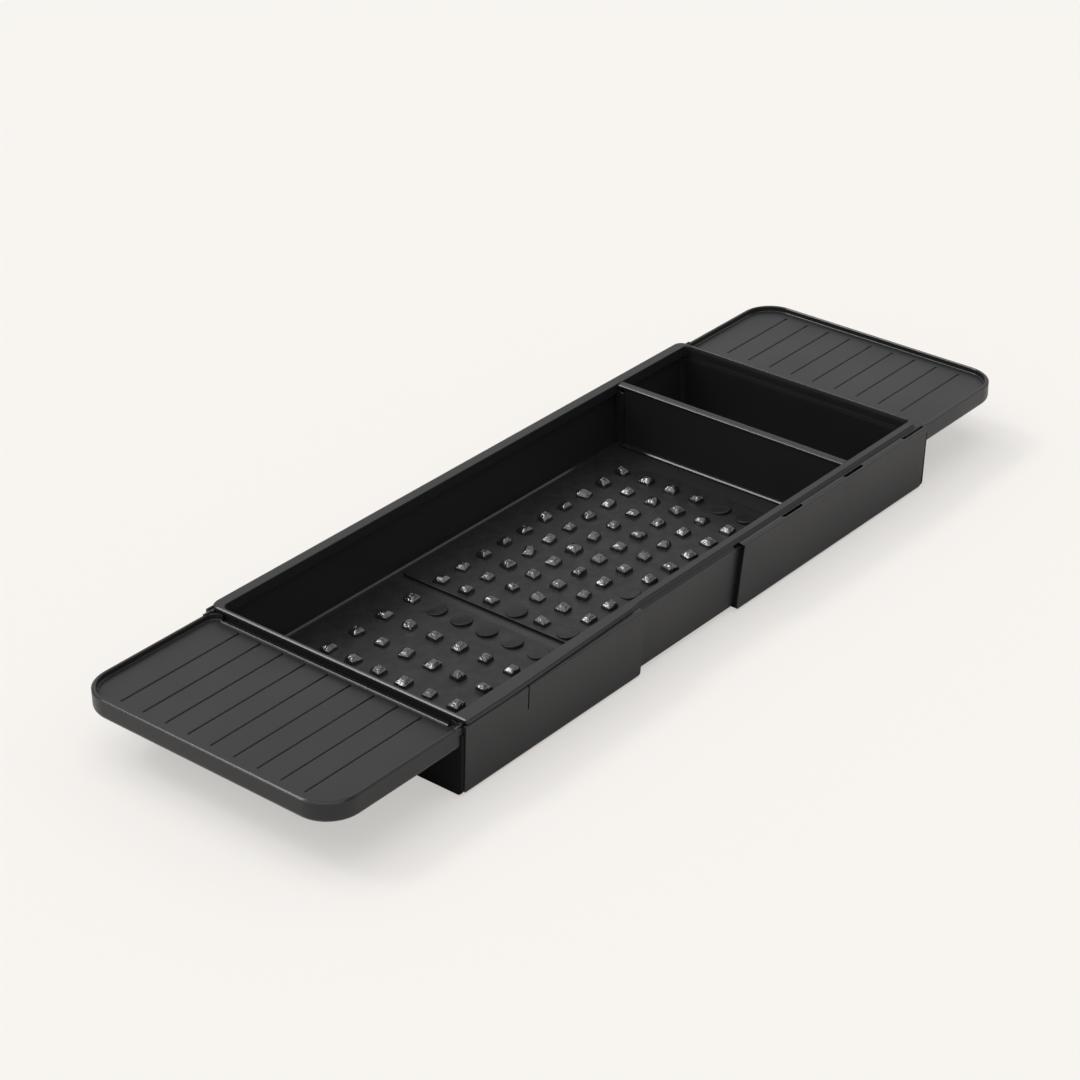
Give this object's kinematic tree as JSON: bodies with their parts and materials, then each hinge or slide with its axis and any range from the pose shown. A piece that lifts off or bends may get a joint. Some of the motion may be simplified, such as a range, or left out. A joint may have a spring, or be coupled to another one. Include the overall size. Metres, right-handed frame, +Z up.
{
  "type": "extending bath caddy",
  "caption": "Long shallow bath tray in two sliding channel sleeves, each with a wide flat wing for a bath's rim, with studded mats and a lift-out cross divider.",
  "frame": {"origin": "middle of the closed caddy in plan, at the underside of the feet", "axes": "+X along the tray towards the divided end, -Y towards the front wall with the windows, +Z up"},
  "size_m": [0.5824, 0.18, 0.0439],
  "materials": {
    "moulded_black": "satin, finely textured",
    "stud_rubber": "satin sheet with glossy studs",
    "grip_rubber": "matte",
    "screw_steel": "plain zinc"
  },
  "bodies": {
    "tray_body": {"tray": "moulded_black", "near_stud_mat": "stud_rubber", "main_stud_mat": "stud_rubber"},
    "divider_body": {"divider": "moulded_black"},
    "near_sleeve_body": {"near_sleeve": "moulded_black", "near_wing": "moulded_black", "near_wing_screw_left": "screw_steel", "near_wing_screw_right": "screw_steel", "near_grip_strip_inner": "grip_rubber", "near_grip_strip_outer": "grip_rubber", "near_foot_end_left": "grip_rubber", "near_foot_end_right": "grip_rubber", "near_foot_mouth_left": "grip_rubber", "near_foot_mouth_right": "grip_rubber"},
    "far_sleeve_body": {"far_sleeve": "moulded_black", "far_wing": "moulded_black", "far_wing_screw_left": "screw_steel", "far_wing_screw_right": "screw_steel", "far_grip_strip_inner": "grip_rubber", "far_grip_strip_outer": "grip_rubber", "far_foot_end_left": "grip_rubber", "far_foot_end_right": "grip_rubber", "far_foot_mouth_left": "grip_rubber", "far_foot_mouth_right": "grip_rubber"}
  },
  "joints": [
    {"name": "near_slide", "type": "slide", "parent": "tray_body", "child": "near_sleeve_body", "axis": [-1, 0, 0], "range_m": [0, 0.0585]},
    {"name": "far_slide", "type": "slide", "parent": "tray_body", "child": "far_sleeve_body", "axis": [1, 0, 0], "range_m": [0, 0.117]},
    {"name": "divider_lift", "type": "slide", "parent": "tray_body", "child": "divider_body", "axis": [0, 0, 1], "range_m": [0, 0.036]}
  ]
}
